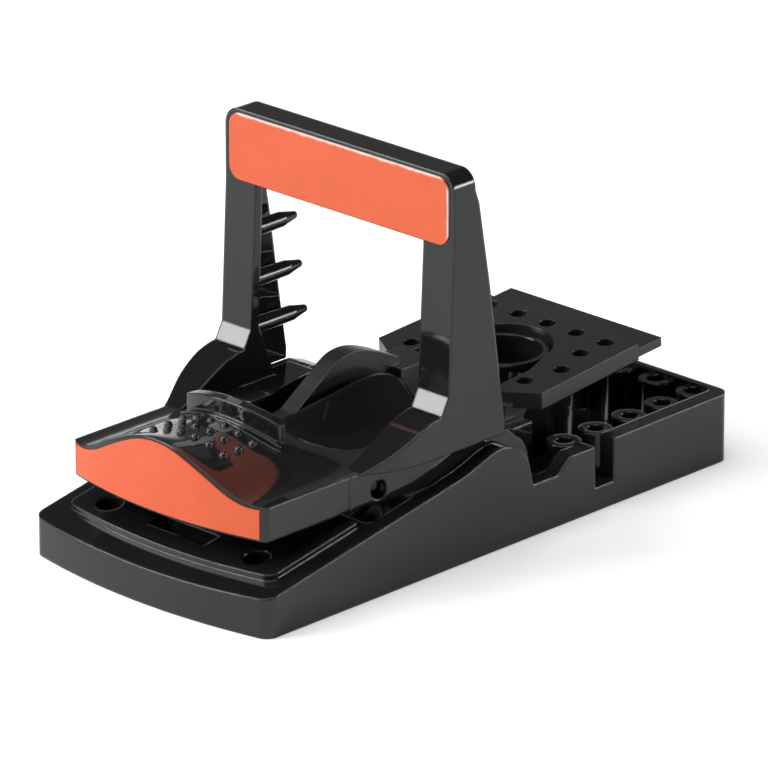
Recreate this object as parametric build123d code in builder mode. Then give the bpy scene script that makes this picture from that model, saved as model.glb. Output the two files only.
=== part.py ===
"""Snap mouse trap: a moulded base, a sprung striker with a press pad, and a trip pedal, in mm, +Z up.

X runs across the trap, the press pad is at -Y and the trip pedal at +Y. The trap stands on Z = 0 with
its centre over the origin, and is shown armed: the striker's bar up, its pad down.
"""

import os
from math import sqrt

from build123d import *

os.makedirs("parts", exist_ok=True)

# ---- driving dimensions ----

base_half_width = 23.4
base_rear_y = 49.15
base_front_y = -49.6
base_corner_y = -46.9
wall_inner_x = 20.75
floor_top_z = 2.2
wedge_slope = 0.184
wedge_z_at_origin = 14.575
plateau_step = 1.0

hinge_y = 3.6
hinge_z = 10.0
axle_r = 1.5
running_gap = 0.05

trip_y = 13.5
trip_z = 11.0
trip_pin_r = 1.0

boss_r = 2.55
boss_hole_r = 1.35
boss_top_z = 10.1
boss_pitch_x = 7.35
boss_row_y = 46.5
boss_side_x = 18.38
boss_side_ys = (39.7, 32.6, 25.4, 18.7)

tower_y = 25.0
tower_r = 7.1
tower_bore_r = 6.1
tower_top_z = 17.65
cup_flange_r = 8.6

screw_hole_r = 2.0
screw_hole_x = 14.7
screw_hole_y = -40.5

pad_half_width = 19.2
pad_front_y = -45.7
pad_front_r = 71.0
pad_bottom_z = 12.2
valley_z = 17.4
deck_bottom_z = 15.2
slot_half_width = 3.7
hook_web_half = 3.35
slot_front_y = -25.8

arm_outer_x = 22.6
arm_inner_x = 16.6
skirt_outer_x = 20.4
bar_bottom_z = 47.5
bar_top_z = 58.3
bar_depth = 4.3
bar_corner_r = 2.6
arm_top_z = bar_top_z - bar_corner_r
bar_face_y = -8.9
tooth_root_y = bar_face_y + 0.1
bump_r = 0.6
bump_pitch_x = 2.8
label_thickness = 0.25
label_half_width = 18.9

pedal_slope = 0.08
pedal_z_at_origin = 16.204
pedal_thickness = 2.6
pedal_opening_r = 7.75
pedal_small_hole_r = 1.3

coil_r = 3.0
wire_r = 0.55
coil_turns = 6.5
coil_inner_x = 5.9

# ---- derived planes and helpers ----

wedge_plane = Plane(
    origin=(0, 0, wedge_z_at_origin), x_dir=(1, 0, 0), z_dir=(0, -wedge_slope, 1)
)
wedge_stretch = sqrt(1 + wedge_slope**2)
pedal_plane = Plane(origin=(0, 0, pedal_z_at_origin), x_dir=(1, 0, 0), z_dir=(0, -pedal_slope, 1))


def side_plane(x):
    """The YZ plane at x, drawn in (y, z)."""
    return Plane.YZ.offset(x)


def cross_plane(y):
    """The XZ plane at y, drawn in (x, z) and facing the press pad."""
    return Plane.XZ.offset(-y)


def pad_face_y(x):
    """Where the bowed front face of the press pad lies at x."""
    return pad_front_y + pad_front_r - sqrt(pad_front_r**2 - x**2)


# ---- base ----

with BuildPart() as base:
    # footprint with a bowed front edge
    with BuildSketch(Plane.XY) as footprint:
        with BuildLine():
            ThreePointArc(
                (-base_half_width, base_corner_y),
                (0, base_front_y),
                (base_half_width, base_corner_y),
            )
            Polyline(
                (base_half_width, base_corner_y),
                (base_half_width, base_rear_y),
                (-base_half_width, base_rear_y),
                (-base_half_width, base_corner_y),
            )
        make_face()
        fillet(footprint.vertices(), 2.0)
    extrude(amount=20)

    # side silhouette: wedge, rounded hump, notch, slot and rear rim
    with BuildSketch(side_plane(0)) as silhouette:
        with BuildLine():
            Polyline((-52, 0), (-52, wedge_z_at_origin - 52 * wedge_slope), (-9.0, 12.92))
            Spline(
                (-9.0, 12.92),
                (2.4, 14.95),
                (4.4, 13.8),
                (6.1, 11.0),
                tangents=((1, wedge_slope), (0.3, -1)),
            )
            Polyline(
                (6.1, 11.0),
                (6.8, 7.95),
                (12.3, 7.95),
                (15.0, 10.1),
                (19.8, 10.1),
                (20.0, 3.7),
                (23.9, 3.7),
                (23.9, 10.35),
                (52, 10.6),
                (52, 0),
                (-52, 0),
            )
        make_face()
    extrude(amount=30, both=True, mode=Mode.INTERSECT)

    # raised plateau on the wedge, inside a narrow ledge
    with BuildSketch(wedge_plane) as plateau:
        with BuildLine():
            ThreePointArc(
                (-20.3, -43.1 * wedge_stretch), (0, -45.0 * wedge_stretch), (20.3, -43.1 * wedge_stretch)
            )
            Polyline(
                (20.3, -43.1 * wedge_stretch),
                (20.3, -26.0 * wedge_stretch),
                (-20.3, -26.0 * wedge_stretch),
                (-20.3, -43.1 * wedge_stretch),
            )
        make_face()
        fillet(plateau.vertices().group_by(Axis.Y)[0], 1.6)
    extrude(amount=plateau_step)
    # open tray behind the wedge, closed by thin outer walls
    with BuildSketch(Plane.XY.offset(floor_top_z)) as tray:
        with Locations((0, (47.85 - 24.2) / 2)):
            Rectangle(2 * wall_inner_x, 47.85 + 24.2)
        fillet(tray.vertices(), 1.0)
    extrude(amount=30, mode=Mode.SUBTRACT)

    # hollow underside of the wedge with three ribs left standing
    with BuildSketch(side_plane(0)):
        with BuildLine():
            Polyline((-46.4, 0), (-46.4, 4.2), (-26.0, 8.0), (-26.0, 0), (-46.4, 0))
        make_face()
    extrude(amount=21.2, both=True, mode=Mode.SUBTRACT)
    for rib_x in (-7.2, 0, 7.2):
        with BuildSketch(side_plane(rib_x)):
            with BuildLine():
                Polyline((-46.6, 0.6), (-46.6, 4.3), (-25.8, 8.1), (-25.8, 0.6), (-46.6, 0.6))
            make_face()
        extrude(amount=0.6, both=True)

    # two screw columns through the wedge, and the shallow pocket between them
    with BuildSketch(Plane.XY):
        with Locations((-screw_hole_x, screw_hole_y), (screw_hole_x, screw_hole_y)):
            Circle(3.6)
    extrude(amount=6.6)
    with BuildSketch(Plane.XY):
        with Locations((-screw_hole_x, screw_hole_y), (screw_hole_x, screw_hole_y)):
            Circle(screw_hole_r)
    extrude(amount=15, mode=Mode.SUBTRACT)
    with BuildSketch(Plane.XY.offset(0.0)):
        with Locations((0, -40.3)):
            Rectangle(11.5, 3.0)
    extrude(amount=15, mode=Mode.SUBTRACT)
    with BuildSketch(Plane.XY.offset(5.2)):
        with Locations((0, -41.4), (-5.15, -40.3), (5.15, -40.3)):
            Rectangle(1.6, 1.6)
    extrude(amount=1.6)

    # bait tower with its open bore and the flange recess below
    with BuildSketch(Plane.XY):
        with Locations((0, tower_y)):
            Circle(tower_r)
    extrude(amount=tower_top_z)
    with BuildSketch(Plane.XY):
        with Locations((0, tower_y)):
            Circle(tower_bore_r)
    extrude(amount=30, mode=Mode.SUBTRACT)
    with BuildSketch(Plane.XY):
        with Locations((0, tower_y)):
            Circle(cup_flange_r + 0.2)
    extrude(amount=1.2, mode=Mode.SUBTRACT)

    # ring bosses: one row along the rear wall, one column along each side wall
    with BuildSketch(Plane.XY.offset(0.5)):
        for n in (-2.5, -1.5, -0.5, 0.5, 1.5, 2.5):
            with Locations((n * boss_pitch_x, boss_row_y)):
                Circle(boss_r)
        for boss_y in boss_side_ys:
            with Locations((-boss_side_x, boss_y), (boss_side_x, boss_y)):
                Circle(boss_r)
    extrude(amount=boss_top_z - 0.5)
    with BuildSketch(Plane.XY.offset(3.6)):
        for n in (-2.5, -1.5, -0.5, 0.5, 1.5, 2.5):
            with Locations((n * boss_pitch_x, boss_row_y)):
                Circle(boss_hole_r)
        for boss_y in boss_side_ys:
            with Locations((-boss_side_x, boss_y), (boss_side_x, boss_y)):
                Circle(boss_hole_r)
    extrude(amount=20, mode=Mode.SUBTRACT)

    # posts that carry the ends of the trip pin, and a ramp beside each of them
    for side in (-1, 1):
        with BuildSketch(Plane.XY.offset(1.0)):
            with Locations((side * 13.9, trip_y)):
                Rectangle(2.2, 4.2)
        extrude(amount=12.0)
        with BuildSketch(side_plane(side * 18.9)):
            with BuildLine():
                Polyline((10.0, 1.0), (10.0, 7.0), (12.0, 7.0), (15.5, 3.4), (15.5, 1.0), (10.0, 1.0))
            make_face()
        extrude(amount=2.2, both=True)
    with BuildSketch(side_plane(0)):
        with Locations((trip_y, trip_z)):
            Circle(trip_pin_r)
    extrude(amount=14.4, both=True, mode=Mode.SUBTRACT)

    # blind sockets for the striker axle in the humps
    with BuildSketch(side_plane(0)):
        with Locations((hinge_y, hinge_z)):
            Circle(axle_r)
    extrude(amount=22.2, both=True, mode=Mode.SUBTRACT)

base.part.label = "base"

# ---- striker: press pad, ridge, hubs, arms and bar in one moulding ----

bell = (
    (0, 23.3),
    (3.0, 23.0),
    (7.0, 21.6),
    (10.6, 19.9),
    (14.0, 18.2),
    (pad_half_width, valley_z),
)

# the dip under the grip bumps fades out at this distance from the middle
dip_half_width = 12


def bell_height(x, z, dip, keep):
    """Height of the pad's top at x, where the full bell is z high."""
    sag = dip * (1 - (x / dip_half_width) ** 2) if x < dip_half_width else 0
    return valley_z + (z - sag - valley_z) * keep


# pad stations: y, dip of the bell's middle, and how much of the bell's height is left
pad_stations = (
    (-46.5, 0.0, 1.0),
    (-41.0, 0.8, 1.0),
    (-36.0, 1.1, 1.0),
    (-31.0, 0.9, 1.0),
    (-22.0, 0.4, 0.42),
    (-14.0, 0.0, 0.05),
    (-11.0, 0.0, 0.01),
)

# hood stations: y, edge height beside the slot, half width at the valley
hood_stations = (
    (-30.5, 22.0, 10.0),
    (-24.0, 21.7, 9.0),
    (-15.0, 22.5, 8.2),
    (-6.0, 23.2, 7.6),
    (-1.5, 22.0, 7.3),
    (-0.2, 21.1, 7.2),
)

with BuildPart() as striker:
    # pad and deck: the bell-shaped front dips under the grip bumps and flattens towards the hinge
    for y, dip, keep in pad_stations:
        with BuildSketch(cross_plane(y)):
            with BuildLine():
                half_bell = [(x, bell_height(x, z, dip, keep)) for x, z in bell]
                Spline(*[(-x, z) for x, z in reversed(half_bell)], *half_bell[1:])
                Polyline(
                    (pad_half_width, valley_z),
                    (pad_half_width, pad_bottom_z),
                    (-pad_half_width, pad_bottom_z),
                    (-pad_half_width, valley_z),
                )
            make_face()
    loft()
    with BuildSketch(Plane.XY) as pad_plan:
        with BuildLine():
            ThreePointArc(
                (-pad_half_width, pad_face_y(pad_half_width)),
                (0, pad_front_y),
                (pad_half_width, pad_face_y(pad_half_width)),
            )
            Polyline(
                (pad_half_width, pad_face_y(pad_half_width)),
                (pad_half_width, 10),
                (-pad_half_width, 10),
                (-pad_half_width, pad_face_y(pad_half_width)),
            )
        make_face()
        fillet(pad_plan.vertices().group_by(Axis.Y)[0], 0.8)
    extrude(amount=40, mode=Mode.INTERSECT)

    with BuildSketch(cross_plane(0.5)):
        with Locations((0, (valley_z + pad_bottom_z) / 2)):
            Rectangle(2 * pad_half_width, valley_z - pad_bottom_z)
    extrude(amount=11.5)

    # side skirts that widen under the arms
    for side in (-1, 1):
        with BuildSketch(Plane.XY.offset(pad_bottom_z)):
            with BuildLine():
                Spline(
                    (side * 19.15, -28.0), (side * skirt_outer_x, -12.0), tangents=((0, 1), (0, 1))
                )
                Polyline(
                    (side * skirt_outer_x, -12.0),
                    (side * skirt_outer_x, 1.6),
                    (side * 17.4, 1.6),
                    (side * 17.4, -28.0),
                    (side * 19.15, -28.0),
                )
            make_face()
        extrude(amount=valley_z - pad_bottom_z - 0.1)

    # hood that narrows towards the hinge
    for y, edge_z, foot_x in hood_stations:
        with BuildSketch(cross_plane(y)):
            with BuildLine():
                Line((-foot_x, valley_z - 0.1), (-slot_half_width - 0.5, edge_z - 0.4))
                Spline(
                    (-slot_half_width - 0.5, edge_z - 0.4),
                    (-slot_half_width + 0.4, edge_z),
                    (slot_half_width - 0.4, edge_z),
                    (slot_half_width + 0.5, edge_z - 0.4),
                )
                Line((slot_half_width + 0.5, edge_z - 0.4), (foot_x, valley_z - 0.1))
                Polyline(
                    (foot_x, valley_z - 0.1),
                    (foot_x, deck_bottom_z + 0.2),
                    (-foot_x, deck_bottom_z + 0.2),
                    (-foot_x, valley_z - 0.1),
                )
            make_face()
    loft()

    # low step along the foot of the fence
    with BuildSketch(Plane.XY.offset(18)):
        with BuildLine():
            ThreePointArc((-9.9, -31.0), (0, -32.6), (9.9, -31.0))
            Polyline((9.9, -31.0), (9.6, -29.5), (-9.6, -29.5), (-9.9, -31.0))
        make_face()
    extrude(amount=6)
    with BuildSketch(cross_plane(-29.6)):
        with BuildLine():
            ThreePointArc((-12.0, 19.5), (0, 22.95), (12.0, 19.5))
            Polyline((12.0, 19.5), (12.0, 26), (-12.0, 26), (-12.0, 19.5))
        make_face()
    extrude(amount=3.6, mode=Mode.SUBTRACT)

    # arched fence behind the grip bumps
    with BuildSketch(Plane.XY.offset(18)) as fence:
        with BuildLine():
            ThreePointArc((-9.4, -30.4), (0, -32.0), (9.4, -30.4))
            Line((9.4, -30.4), (9.1, -28.6))
            ThreePointArc((9.1, -28.6), (0, -30.2), (-9.1, -28.6))
            Line((-9.1, -28.6), (-9.4, -30.4))
        make_face()
        fillet(fence.vertices(), 0.7)
    extrude(amount=8)
    with BuildSketch(cross_plane(-20)):
        with BuildLine():
            ThreePointArc((-15.0, 20.2), (0, 25.4), (15.0, 20.2))
            Polyline((15.0, 20.2), (15.0, 40), (-15.0, 40), (-15.0, 20.2))
        make_face()
    extrude(amount=14, mode=Mode.SUBTRACT)

    # grip bumps: three rows of six domes
    for row_y in (-39.2, -36.25, -33.35):
        for n in (-2.5, -1.5, -0.5, 0.5, 1.5, 2.5):
            bump_x = bump_pitch_x * n
            with Locations((bump_x, row_y, 22.3 - 0.026 * bump_x**2)):
                Sphere(bump_r)

    # arms: a front flange and a side wall each, with the foot flaring forward along the pad
    for side in (-1, 1):
        with BuildSketch(side_plane(side * (arm_inner_x + arm_outer_x) / 2)):
            with BuildLine():
                Polyline((bar_face_y, arm_top_z), (bar_face_y, bar_bottom_z - 0.4), (-9.9, 25.7))
                Line((-9.9, 25.7), (-11.3, 23.1))
                Spline((-11.3, 23.1), (-14.3, 22.4), (-17.7, 20.8), (-21.0, 19.0), (-25.0, 17.1))
                Polyline((-25.0, 17.1), (-5.0, 17.1), (-8.4, 26.0), (-7.4, bar_bottom_z))
                Polyline((-7.4, bar_bottom_z), (-7.4, arm_top_z), (bar_face_y, arm_top_z))
            make_face()
        extrude(amount=(arm_outer_x - arm_inner_x) / 2, both=True)
        with BuildSketch(side_plane(side * (arm_outer_x - 0.8))):
            with BuildLine():
                Polyline((bar_face_y, bar_bottom_z - 0.4), (-9.9, 25.7), (-10.5, 17.1))
                Polyline((-10.5, 17.1), (1.6, 17.1), (1.7, 18.6), (0.6, 25.5))
                Polyline((0.6, 25.5), (-1.55, 40.4), (-3.8, 53.2), (-4.7, arm_top_z))
                Line((-4.7, arm_top_z), (bar_face_y, arm_top_z))
                Line((bar_face_y, arm_top_z), (bar_face_y, bar_bottom_z - 0.4))
            make_face()
        extrude(amount=0.8, both=True)

        # in plan the foot draws in to the pad's side
        with BuildSketch(Plane.XY.offset(10)):
            with BuildLine():
                Spline(
                    (side * 19.1, -26.5),
                    (side * 20.2, -23.2),
                    (side * 21.7, -19.8),
                    (side * 22.5, -16.0),
                    (side * (arm_outer_x + 0.1), -10.5),
                )
                Polyline(
                    (side * (arm_outer_x + 0.1), -10.5),
                    (side * 25, -10.5),
                    (side * 25, -26.5),
                    (side * 19.1, -26.5),
                )
            make_face()
        extrude(amount=25, mode=Mode.SUBTRACT)

    # bar across the top of the arms
    with BuildSketch(cross_plane(bar_face_y + bar_depth)) as bar_face:
        with Locations((0, (bar_bottom_z + bar_top_z) / 2)):
            Rectangle(2 * arm_outer_x, bar_top_z - bar_bottom_z)
        fillet(bar_face.vertices(), bar_corner_r)
    extrude(amount=bar_depth)

    # teeth on the rear of each flange
    for side in (-1, 1):
        for tooth_z, tooth_tip in ((40.1, 1.2), (32.4, 2.2), (25.2, 3.2)):
            shank = tooth_tip - 3.2
            with Locations(Location((side * boss_side_x, tooth_root_y, tooth_z), (-90, 0, 0))):
                Cone(1.35, 1.15, shank - tooth_root_y, align=(Align.CENTER, Align.CENTER, Align.MIN))
            with Locations(Location((side * boss_side_x, shank, tooth_z), (-90, 0, 0))):
                Cone(1.15, 0.6, 2.6, align=(Align.CENTER, Align.CENTER, Align.MIN))
            with Locations((side * boss_side_x, tooth_tip - 0.6, tooth_z)):
                Sphere(0.6)

    # hollow underside of the pad and the ridge
    with BuildSketch(Plane.XY.offset(pad_bottom_z - 1)) as pad_hollow:
        with Locations((0, -34.4)):
            Rectangle(34.8, 14.6)
        fillet(pad_hollow.vertices(), 1.0)
    extrude(amount=4.6, mode=Mode.SUBTRACT)
    for hollow_x in (-5.6, 5.6):
        with BuildSketch(Plane.XY.offset(pad_bottom_z - 1)):
            with Locations((hollow_x, -35.6)):
                Rectangle(9.6, 12.2)
        extrude(amount=7.0, mode=Mode.SUBTRACT)
    with BuildSketch(Plane.XY.offset(pad_bottom_z - 1)):
        with Locations((0, -11.6)):
            Rectangle(34.8, 27.0)
    extrude(amount=deck_bottom_z - pad_bottom_z + 1, mode=Mode.SUBTRACT)

    # hubs on the axle, joined to the deck
    for side in (-1, 1):
        with BuildSketch(side_plane(side * 18.2)):
            with Locations((hinge_y, hinge_z)):
                Circle(5.5)
            with BuildLine():
                Polyline((-6.0, 17.2), (1.9, 17.2), (4.6, 16.3), (6.9, 14.2))
                Polyline((6.9, 14.2), (-1.0, 8.5), (-6.0, 12.4), (-6.0, 17.2))
            make_face()
        extrude(amount=2.2, both=True)
    with BuildSketch(side_plane(0)):
        with Locations((hinge_y, hinge_z)):
            Circle(axle_r + running_gap)
    extrude(amount=25, both=True, mode=Mode.SUBTRACT)

    # long slot for the trip hook, open below and to the rear
    with BuildSketch(Plane.XY):
        with Locations((0, (slot_front_y + 6) / 2)):
            Rectangle(2 * slot_half_width, 6 - slot_front_y)
    extrude(amount=40, mode=Mode.SUBTRACT)

    # anchor holes for the spring legs in the side skirts
    with BuildSketch(side_plane(0)):
        with Locations((-21.0, 14.1)):
            Circle(1.4)
    extrude(amount=25, both=True, mode=Mode.SUBTRACT)

striker.part.label = "striker"

# ---- labels ----

with BuildPart() as bar_label:
    with BuildSketch(cross_plane(bar_face_y)) as label_face:
        with Locations((0, 52.7)):
            Rectangle(43.2, 10.0)
        fillet(label_face.vertices(), 2.0)
    extrude(amount=label_thickness)

bar_label.part.label = "bar_label"

# the pad's bell profile, drawn in a little from its edges
label_bell = [(x * 0.95, z - 0.35) for x, z in bell]
label_edge_x, label_edge_z = label_bell[-1]
label_bottom_z = pad_bottom_z + 0.4
label_rear_y = pad_face_y(label_half_width)

with BuildPart() as pad_label:
    with BuildSketch(Plane.XY.offset(pad_bottom_z)):
        with BuildLine():
            ThreePointArc(
                (-label_half_width, label_rear_y),
                (0, pad_front_y),
                (label_half_width, label_rear_y),
            )
            Line((label_half_width, label_rear_y), (label_half_width, label_rear_y - label_thickness))
            ThreePointArc(
                (label_half_width, label_rear_y - label_thickness),
                (0, pad_front_y - label_thickness),
                (-label_half_width, label_rear_y - label_thickness),
            )
            Line((-label_half_width, label_rear_y - label_thickness), (-label_half_width, label_rear_y))
        make_face()
    extrude(amount=14)
    with BuildSketch(cross_plane(-40)):
        with BuildLine():
            Spline(*[(-x, z) for x, z in reversed(label_bell)], *label_bell[1:])
            Polyline(
                (label_edge_x, label_edge_z),
                (label_edge_x, label_bottom_z),
                (-label_edge_x, label_bottom_z),
                (-label_edge_x, label_edge_z),
            )
        make_face()
    extrude(amount=10, mode=Mode.INTERSECT)

pad_label.part.label = "pad_label"

# ---- trip pedal with its hook ----

small_holes = ((5.75, 35.0), (11.6, 35.0), (11.2, 30.0), (12.95, 24.1), (11.3, 18.0))

with BuildPart() as trip_pedal:
    # perforated plate with a thin rear flange
    with BuildSketch(pedal_plane) as plate:
        with BuildLine():
            Polyline(
                (-9.4, 12.1),
                (-16.3, 16.2),
                (-15.7, 37.5),
                (15.7, 37.5),
                (16.3, 16.2),
                (9.4, 12.1),
                (9.4, 21.0),
                (pedal_opening_r, 26.1),
                (-pedal_opening_r, 26.1),
                (-9.4, 21.0),
                (-9.4, 12.1),
            )
        make_face()
        with Locations((0, tower_y + 0.05)):
            Circle(pedal_opening_r, mode=Mode.SUBTRACT)
        with Locations((0, 35.0)):
            Circle(pedal_small_hole_r, mode=Mode.SUBTRACT)
        for hole_x, hole_y in small_holes:
            with Locations((-hole_x, hole_y), (hole_x, hole_y)):
                Circle(pedal_small_hole_r, mode=Mode.SUBTRACT)
    extrude(amount=-pedal_thickness)
    with BuildSketch(pedal_plane.offset(-pedal_thickness)):
        with Locations((0, 40.0)):
            Rectangle(30.0, 6.4)
    extrude(amount=1.4)

    # tube on the trip pin, with webs up to the plate and forward to the tongue
    with BuildSketch(side_plane(0)):
        with Locations((trip_y, trip_z)):
            Circle(1.9)
    extrude(amount=12.5, both=True)
    for side in (-1, 1):
        with BuildSketch(side_plane(side * 11.25)):
            with BuildLine():
                Polyline((11.8, 11.0), (12.9, 15.6), (18.5, 15.8), (15.3, 11.0), (11.8, 11.0))
            make_face()
        extrude(amount=1.25, both=True)
    with BuildSketch(side_plane(0)):
        with BuildLine():
            Polyline(
                (12.6, 9.6),
                (15.2, 11.6),
                (7.2, 22.0),
                (0.4, 22.0),
                (0.4, 20.6),
                (3.4, 16.6),
                (6.4, 12.8),
                (12.6, 9.6),
            )
        make_face()
    extrude(amount=hook_web_half, both=True)

    # hook that lies in the striker's slot
    with BuildSketch(side_plane(0)):
        with BuildLine():
            Polyline((-22.6, 18.9), (-22.6, 19.8), (-19.5, 20.1), (-15.2, 22.9), (-11.9, 25.1))
            Spline((-11.9, 25.1), (-7.5, 26.4), (-4.0, 25.7), (2.1, 23.0))
            Polyline((2.1, 23.0), (2.4, 21.0), (-2.0, 21.2), (-7.0, 21.2), (-14.0, 19.6), (-22.6, 18.9))
        make_face()
    extrude(amount=1.5, both=True)
    with BuildSketch(side_plane(0)):
        with Locations((trip_y, trip_z)):
            Circle(trip_pin_r + running_gap)
    extrude(amount=20, both=True, mode=Mode.SUBTRACT)

trip_pedal.part.label = "trip_pedal"

# ---- steel pins ----

with BuildPart() as striker_axle:
    with BuildSketch(side_plane(0)):
        with Locations((hinge_y, hinge_z)):
            Circle(axle_r)
    extrude(amount=22.2, both=True)
    chamfer(striker_axle.edges().filter_by(GeomType.CIRCLE), 0.3)

striker_axle.part.label = "striker_axle"

with BuildPart() as trip_pin:
    with BuildSketch(side_plane(0)):
        with Locations((trip_y, trip_z)):
            Circle(trip_pin_r)
    extrude(amount=14.4, both=True)
    chamfer(trip_pin.edges().filter_by(GeomType.CIRCLE), 0.2)

trip_pin.part.label = "trip_pin"

# ---- torsion springs: inner leg on the base floor, outer leg in the striker's skirt ----

coil_pitch = 2 * wire_r + 0.2
coil_length = coil_turns * coil_pitch
coil_outer_x = coil_inner_x + coil_length
leg_low_z = floor_top_z + wire_r + 0.05
bend_r = 3.0
coil_frame = Plane(origin=(coil_inner_x, hinge_y, hinge_z), x_dir=(0, 0, -1), z_dir=(1, 0, 0))
coil = coil_frame * Helix(pitch=coil_pitch, height=coil_length, radius=coil_r)
low_leg = Spline((coil_inner_x, -19.0, leg_low_z), coil @ 0, tangents=((0, 1, 0), coil % 0))
top_leg = Spline(coil @ 1, (coil_outer_x, -17.5, 14.1), tangents=(coil % 1, (0, -1, 0)))
leg_bend = TangentArc(top_leg @ 1, (coil_outer_x + bend_r, -17.5 - bend_r, 14.1), tangent=(0, -1, 0))
leg_tip = Line(leg_bend @ 1, (18.2, -17.5 - bend_r, 14.1))
wire_path = Wire([low_leg, coil, top_leg, leg_bend, leg_tip])

with BuildPart() as spring_right:
    with BuildSketch(Plane(wire_path @ 0, z_dir=wire_path % 0)):
        Circle(wire_r)
    sweep(path=wire_path)

spring_right.part.label = "spring_right"

with BuildPart() as spring_left:
    add(mirror(spring_right.part, about=Plane.YZ))

spring_left.part.label = "spring_left"

# ---- bait cup ----

with BuildPart() as bait_cup:
    with BuildSketch(Plane.XY.offset(0.2)):
        with Locations((0, tower_y)):
            Circle(cup_flange_r)
    extrude(amount=0.9)
    with BuildSketch(Plane.XY.offset(0.2)):
        with Locations((0, tower_y)):
            Circle(tower_bore_r - 0.15)
    extrude(amount=13.0)
    with BuildSketch(Plane.XY.offset(4.0)):
        with Locations((0, tower_y)):
            Circle(tower_bore_r - 1.15)
            Rectangle(2 * tower_bore_r, 1.0, mode=Mode.SUBTRACT)
    extrude(amount=20, mode=Mode.SUBTRACT)
    with BuildSketch(Plane.XY.offset(0.2)):
        with Locations((0, tower_y)):
            Rectangle(9.0, 1.4)
    extrude(amount=0.6, mode=Mode.SUBTRACT)

bait_cup.part.label = "bait_cup"

export_step(base.part, "parts/base.step")
export_step(striker.part, "parts/striker.step")
export_step(bar_label.part, "parts/bar_label.step")
export_step(pad_label.part, "parts/pad_label.step")
export_step(trip_pedal.part, "parts/trip_pedal.step")
export_step(striker_axle.part, "parts/striker_axle.step")
export_step(trip_pin.part, "parts/trip_pin.step")
export_step(spring_left.part, "parts/spring_left.step")
export_step(spring_right.part, "parts/spring_right.step")
export_step(bait_cup.part, "parts/bait_cup.step")
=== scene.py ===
import math

import bpy
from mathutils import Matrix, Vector


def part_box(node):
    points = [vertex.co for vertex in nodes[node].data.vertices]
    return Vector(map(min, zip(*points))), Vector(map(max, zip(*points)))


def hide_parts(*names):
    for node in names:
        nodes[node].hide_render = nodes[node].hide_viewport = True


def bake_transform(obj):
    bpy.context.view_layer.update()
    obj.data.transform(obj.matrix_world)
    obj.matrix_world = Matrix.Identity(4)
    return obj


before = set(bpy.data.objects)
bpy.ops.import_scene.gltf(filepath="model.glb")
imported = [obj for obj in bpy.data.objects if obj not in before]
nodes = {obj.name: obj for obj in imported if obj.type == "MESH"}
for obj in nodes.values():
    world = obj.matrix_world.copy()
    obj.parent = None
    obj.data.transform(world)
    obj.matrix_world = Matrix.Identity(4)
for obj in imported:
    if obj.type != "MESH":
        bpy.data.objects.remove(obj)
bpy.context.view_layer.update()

scene = bpy.context.scene


# ---------------------------------------------------------------- looks and places

BLACK = (0.0105, 0.0105, 0.011)
PEDAL_BLACK = (0.018, 0.0177, 0.0172)
PLASTIC_IOR = 1.52
BEVEL_SAMPLES = 6
WAVE_HEIGHT = 0.00004
GRAIN_HEIGHT = 0.00002
FILM_DARK = (0.69, 0.100, 0.0285)
FILM_LIGHT = (0.73, 0.113, 0.0345)
# painted highlight: pale colour laid along the bar film's top and +X edges
FILM_HIGHLIGHT = (0.92, 0.80, 0.74, 1)
FILM_ROUGHNESS = 0.38
# how ragged the inner border of the painted edge highlight is
HIGHLIGHT_RAGGED_DEPTH = 0.0005
STEEL_DARK = (0.42, 0.42, 0.43)
STEEL_LIGHT = (0.62, 0.62, 0.63)
FLOOR_DARK = (0.925, 0.925, 0.925)
FLOOR_LIGHT = (0.935, 0.935, 0.935)
FLOOR_HALF_WIDTH = 1.6
FLOOR_DROP = 0.0001
FLOOR_CAMERA_GLOW = 0.30
SKY_LOW = (1.0, 1.0, 1.0, 1)
SKY_HIGH = (0.035, 0.036, 0.038, 1)

# far outside the film, so that this edge of it gets no painted highlight
NO_EDGE = 1.0

CAMERA_AZIMUTH = 43.95
CAMERA_ELEVATION = 20.87
CAMERA_DISTANCE = 1.1734
CAMERA_LENS = 382.9
CAMERA_TARGET = (0, 0, 0.020)
CAMERA_SHIFT_X = 0.0024
CAMERA_SHIFT_Y = -0.0083

# ---------------------------------------------------------------- materials


class Shader:
    """A small helper that adds and links nodes in one material."""

    def __init__(self, name):
        self.material = bpy.data.materials.new(name)
        self.material.use_nodes = True
        self.tree = self.material.node_tree
        self.tree.nodes.clear()
        self.out = self.add("ShaderNodeOutputMaterial")
        self.bsdf = self.add("ShaderNodeBsdfPrincipled")
        self.link(self.bsdf, "BSDF", self.out, "Surface")
        self.coords = self.add("ShaderNodeTexCoord")

    def add(self, kind):
        return self.tree.nodes.new(kind)

    def math(self, operation):
        node = self.add("ShaderNodeMath")
        node.operation = operation
        return node

    def link(self, a, out, b, into):
        self.tree.links.new(a.outputs[out], b.inputs[into])

    def noise(self, scale, detail, rough=0.55):
        node = self.add("ShaderNodeTexNoise")
        node.inputs["Scale"].default_value = scale
        node.inputs["Detail"].default_value = detail
        node.inputs["Roughness"].default_value = rough
        self.link(self.coords, "Object", node, "Vector")
        return node

    def tint(self, noise, dark, light):
        """Colour that runs from dark to light over the middle of a noise."""
        node = self.add("ShaderNodeValToRGB")
        low, high = node.color_ramp.elements
        low.position = 0.3
        low.color = (*dark, 1)
        high.position = 0.7
        high.color = (*light, 1)
        self.link(noise, "Fac", node, "Fac")
        return node

    def remap(self, source, out, from_min, from_max, to_min, to_max):
        node = self.add("ShaderNodeMapRange")
        node.inputs["From Min"].default_value = from_min
        node.inputs["From Max"].default_value = from_max
        node.inputs["To Min"].default_value = to_min
        node.inputs["To Max"].default_value = to_max
        self.link(source, out, node, "Value")
        return node

    def bump(self, noise, strength, distance):
        node = self.add("ShaderNodeBump")
        node.inputs["Strength"].default_value = strength
        node.inputs["Distance"].default_value = distance
        self.link(noise, "Fac", node, "Height")
        return node


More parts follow.
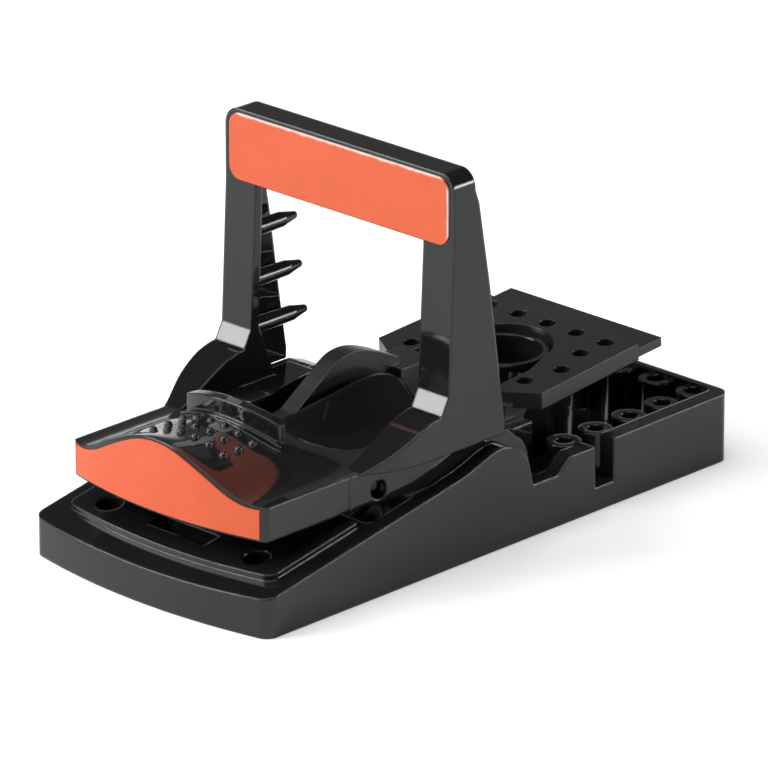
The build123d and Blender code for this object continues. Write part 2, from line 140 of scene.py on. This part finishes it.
def plastic(name, colour, rough_low, rough_high, edge_mm, grain):
    """Moulded black plastic: faint mottling, a gloss that wanders a little, softened edges."""
    s = Shader(name)
    dark = tuple(channel * 0.85 for channel in colour)
    light = tuple(channel * 1.2 for channel in colour)
    tint = s.tint(s.noise(scale=38.0, detail=4.0), dark, light)
    s.link(tint, "Color", s.bsdf, "Base Color")
    wear = s.noise(scale=210.0, detail=6.0, rough=0.7)
    rough = s.remap(wear, "Fac", 0.35, 0.75, rough_low, rough_high)
    s.link(rough, "Result", s.bsdf, "Roughness")
    s.bsdf.inputs["IOR"].default_value = PLASTIC_IOR
    bevel = s.add("ShaderNodeBevel")
    bevel.samples = BEVEL_SAMPLES
    bevel.inputs["Radius"].default_value = edge_mm / 1000
    waves = s.bump(s.noise(scale=90.0, detail=2.0), 0.25, WAVE_HEIGHT)
    s.link(bevel, "Normal", waves, "Normal")
    fine = s.bump(s.noise(scale=2600.0, detail=2.0), grain, GRAIN_HEIGHT)
    s.link(waves, "Normal", fine, "Normal")
    s.link(fine, "Normal", s.bsdf, "Normal")
    return s.material


def label_film(name, half_x, high_z):
    """Printed orange film, with a painted highlight: pale along its top edge and its edge at +X."""
    s = Shader(name)
    tint = s.tint(s.noise(scale=160.0, detail=5.0), FILM_DARK, FILM_LIGHT)
    split = s.add("ShaderNodeSeparateXYZ")
    s.link(s.coords, "Object", split, "Vector")
    # noise that makes the inner border of the painted highlight ragged
    highlight_ragged = s.noise(scale=900.0, detail=4.0)

    def margin(axis, limit):
        # how far inside the edge a point is, in metres, roughened by noise
        inside = s.math("MULTIPLY_ADD")
        s.link(split, axis, inside, 0)
        inside.inputs[1].default_value = -1
        inside.inputs[2].default_value = limit
        jitter = s.math("MULTIPLY_ADD")
        s.link(highlight_ragged, "Fac", jitter, 0)
        jitter.inputs[1].default_value = -HIGHLIGHT_RAGGED_DEPTH
        s.link(inside, "Value", jitter, 2)
        return jitter

    near = margin("X", half_x)
    top = margin("Z", high_z)
    least = s.math("MINIMUM")
    s.link(near, "Value", least, 0)
    s.link(top, "Value", least, 1)
    highlight_mask = s.remap(least, "Value", -0.00022, 0.00012, 0.85, 0.0)
    # painted highlight: the pale colour is mixed in along the top and +X edges
    mix = s.add("ShaderNodeMix")
    mix.data_type = "RGBA"
    s.link(highlight_mask, "Result", mix, "Factor")
    s.link(tint, "Color", mix, "A")
    mix.inputs["B"].default_value = FILM_HIGHLIGHT
    s.link(mix, "Result", s.bsdf, "Base Color")
    s.bsdf.inputs["Roughness"].default_value = FILM_ROUGHNESS
    fine = s.bump(s.noise(scale=1800.0, detail=2.0), 0.08, GRAIN_HEIGHT)
    s.link(fine, "Normal", s.bsdf, "Normal")
    return s.material


def steel(name):
    """Drawn spring steel with fine lines along the wire."""
    s = Shader(name)
    stretch = s.add("ShaderNodeMapping")
    stretch.inputs["Scale"].default_value = (1.0, 14.0, 14.0)
    s.link(s.coords, "Object", stretch, "Vector")
    lines = s.add("ShaderNodeTexNoise")
    lines.inputs["Scale"].default_value = 500.0
    s.link(stretch, "Vector", lines, "Vector")
    tint = s.tint(lines, STEEL_DARK, STEEL_LIGHT)
    s.link(tint, "Color", s.bsdf, "Base Color")
    s.bsdf.inputs["Metallic"].default_value = 1.0
    rough = s.remap(lines, "Fac", 0.0, 1.0, 0.22, 0.42)
    s.link(rough, "Result", s.bsdf, "Roughness")
    return s.material


def assign(obj, material):
    obj.data.materials.clear()
    obj.data.materials.append(material)


base_plastic = plastic("base_plastic", BLACK, 0.06, 0.13, 0.55, 0.05)
striker_plastic = plastic("striker_plastic", BLACK, 0.035, 0.09, 0.50, 0.04)
pedal_plastic = plastic("pedal_plastic", PEDAL_BLACK, 0.26, 0.38, 0.25, 0.15)
cup_plastic = plastic("cup_plastic", BLACK, 0.30, 0.42, 0.25, 0.15)
spring_steel = steel("spring_steel")
bar_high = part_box("bar_label")[1]

assign(nodes["base"], base_plastic)
assign(nodes["striker"], striker_plastic)
assign(nodes["trip_pedal"], pedal_plastic)
assign(nodes["bait_cup"], cup_plastic)
assign(nodes["striker_axle"], spring_steel)
assign(nodes["trip_pin"], spring_steel)
assign(nodes["bar_label"], label_film("bar_film", bar_high[0], bar_high[2]))
assign(nodes["pad_label"], label_film("pad_film", NO_EDGE, NO_EDGE))

# ---------------------------------------------------------------- springs as steel copies of their meshes

for side, name in ((-1, "spring_left"), (1, "spring_right")):
    spring = bpy.data.objects.new(name + "_wire", nodes[name].data.copy())
    scene.collection.objects.link(spring)
    assign(spring, spring_steel)
    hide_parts(name)
    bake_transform(spring)

# ---------------------------------------------------------------- stage


def area_light(name, place, target, size_x, size_y, power):
    data = bpy.data.lights.new(name, "AREA")
    data.shape = "RECTANGLE"
    data.size = size_x
    data.size_y = size_y
    data.energy = power
    light = bpy.data.objects.new(name, data)
    scene.collection.objects.link(light)
    light.location = place
    aim = Vector(target) - Vector(place)
    light.rotation_euler = aim.to_track_quat("-Z", "Y").to_euler()


floor_mesh = bpy.data.meshes.new("floor")
floor_corners = [
    (-FLOOR_HALF_WIDTH, -FLOOR_HALF_WIDTH, 0),
    (FLOOR_HALF_WIDTH, -FLOOR_HALF_WIDTH, 0),
    (FLOOR_HALF_WIDTH, FLOOR_HALF_WIDTH, 0),
    (-FLOOR_HALF_WIDTH, FLOOR_HALF_WIDTH, 0),
]
floor_mesh.from_pydata(floor_corners, [], [(0, 1, 2, 3)])
floor = bpy.data.objects.new("floor", floor_mesh)
scene.collection.objects.link(floor)
floor_shader = Shader("floor_white")
floor_shader.bsdf.inputs["Roughness"].default_value = 0.9
floor_shader.bsdf.inputs["Specular IOR Level"].default_value = 0.0
paper = floor_shader.tint(floor_shader.noise(scale=45.0, detail=5.0), FLOOR_DARK, FLOOR_LIGHT)
floor_shader.link(paper, "Color", floor_shader.bsdf, "Base Color")
# the floor glows a little towards the camera, so that shadows on it stay pale
rays = floor_shader.add("ShaderNodeLightPath")
fill = floor_shader.math("MULTIPLY")
floor_shader.link(rays, "Is Camera Ray", fill, 0)
fill.inputs[1].default_value = FLOOR_CAMERA_GLOW
floor_shader.bsdf.inputs["Emission Color"].default_value = (1, 1, 1, 1)
floor_shader.link(fill, "Value", floor_shader.bsdf, "Emission Strength")
assign(floor, floor_shader.material)
floor.location.z = -FLOOR_DROP

area_light("top", (-0.10, -0.35, 1.5), (0, 0, 0), 1.6, 1.4, 17)
area_light("front_left", (-0.80, -0.88, 0.66), (0, 0, 0.03), 0.85, 0.55, 17)
area_light("edge_right", (0.95, 0.95, 0.30), (0, 0, 0.02), 0.9, 0.20, 9.0)
area_light("rear_left", (-0.90, 0.95, 0.52), (0, 0, 0.02), 1.1, 0.6, 0.20)

# the studio round the trap: white up to just above the horizon, dark overhead
world = bpy.data.worlds.new("studio")
scene.world = world
world.use_nodes = True
tree = world.node_tree
background = tree.nodes["Background"]
direction = tree.nodes.new("ShaderNodeTexCoord")
split = tree.nodes.new("ShaderNodeSeparateXYZ")
band = tree.nodes.new("ShaderNodeValToRGB")
band.color_ramp.elements[0].position = 0.50
band.color_ramp.elements[0].color = SKY_LOW
band.color_ramp.elements[1].position = 0.585
band.color_ramp.elements[1].color = SKY_HIGH
# height from -1..1 to the ramp's 0..1
lift = tree.nodes.new("ShaderNodeMath")
lift.operation = "MULTIPLY_ADD"
lift.inputs[1].default_value = 0.5
lift.inputs[2].default_value = 0.5
tree.links.new(direction.outputs["Generated"], split.inputs["Vector"])
tree.links.new(split.outputs["Z"], lift.inputs[0])
tree.links.new(lift.outputs["Value"], band.inputs["Fac"])
tree.links.new(band.outputs["Color"], background.inputs["Color"])
background.inputs["Strength"].default_value = 1.0

# ---------------------------------------------------------------- camera

azimuth = math.radians(CAMERA_AZIMUTH)
elevation = math.radians(CAMERA_ELEVATION)
look = Vector(
    (
        -math.sin(azimuth) * math.cos(elevation),
        math.cos(azimuth) * math.cos(elevation),
        -math.sin(elevation),
    )
)
camera_data = bpy.data.cameras.new("camera")
camera_data.sensor_width = 36
camera_data.lens = CAMERA_LENS
camera_data.shift_x = CAMERA_SHIFT_X
camera_data.shift_y = CAMERA_SHIFT_Y
camera_data.clip_start = 0.05
camera_data.clip_end = 50
camera = bpy.data.objects.new("camera", camera_data)
scene.collection.objects.link(camera)
camera.location = Vector(CAMERA_TARGET) - look * CAMERA_DISTANCE
camera.rotation_euler = look.to_track_quat("-Z", "Y").to_euler()
scene.camera = camera
scene.view_settings.view_transform = "Standard"
